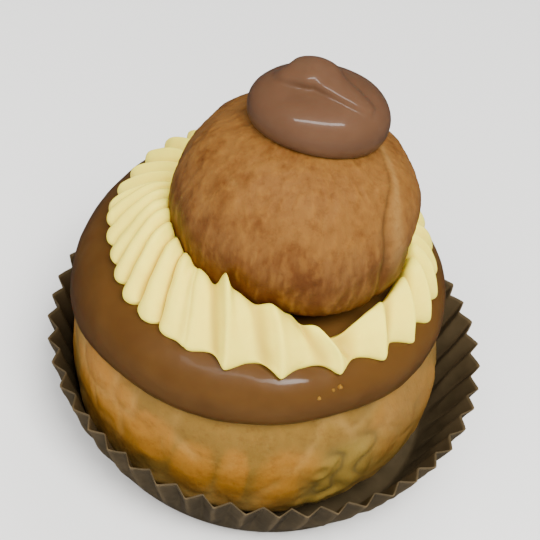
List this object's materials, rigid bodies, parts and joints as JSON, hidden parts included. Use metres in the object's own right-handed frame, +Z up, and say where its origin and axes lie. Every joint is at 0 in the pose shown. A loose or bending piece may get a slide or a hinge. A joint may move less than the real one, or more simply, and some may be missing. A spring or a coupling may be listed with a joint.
{
  "type": "choux pastry",
  "caption": "Round iced choux pastry: a small bun on a large one, each capped with coffee icing, a piped cream collar between them, in a pleated paper case.",
  "frame": {"origin": "middle of the paper case's underside, on the ground", "axes": "+Z up through the pastry; -Y is the front, where the collar's join and the small bun's cleft are, a little to the right"},
  "size_m": [0.0856, 0.0856, 0.0838],
  "materials": {
    "case_paper": "dark brown glassine, slightly glossy",
    "crust": "baked crust, matt to satin",
    "icing": "satin-glossy coffee fondant",
    "cream": "soft satin buttercream"
  },
  "bodies": {
    "root": {"paper_case": "case_paper", "base_chou": "crust", "base_icing": "icing", "cream_collar": "cream", "head_chou": "crust", "head_icing": "icing"}
  },
  "joints": []
}
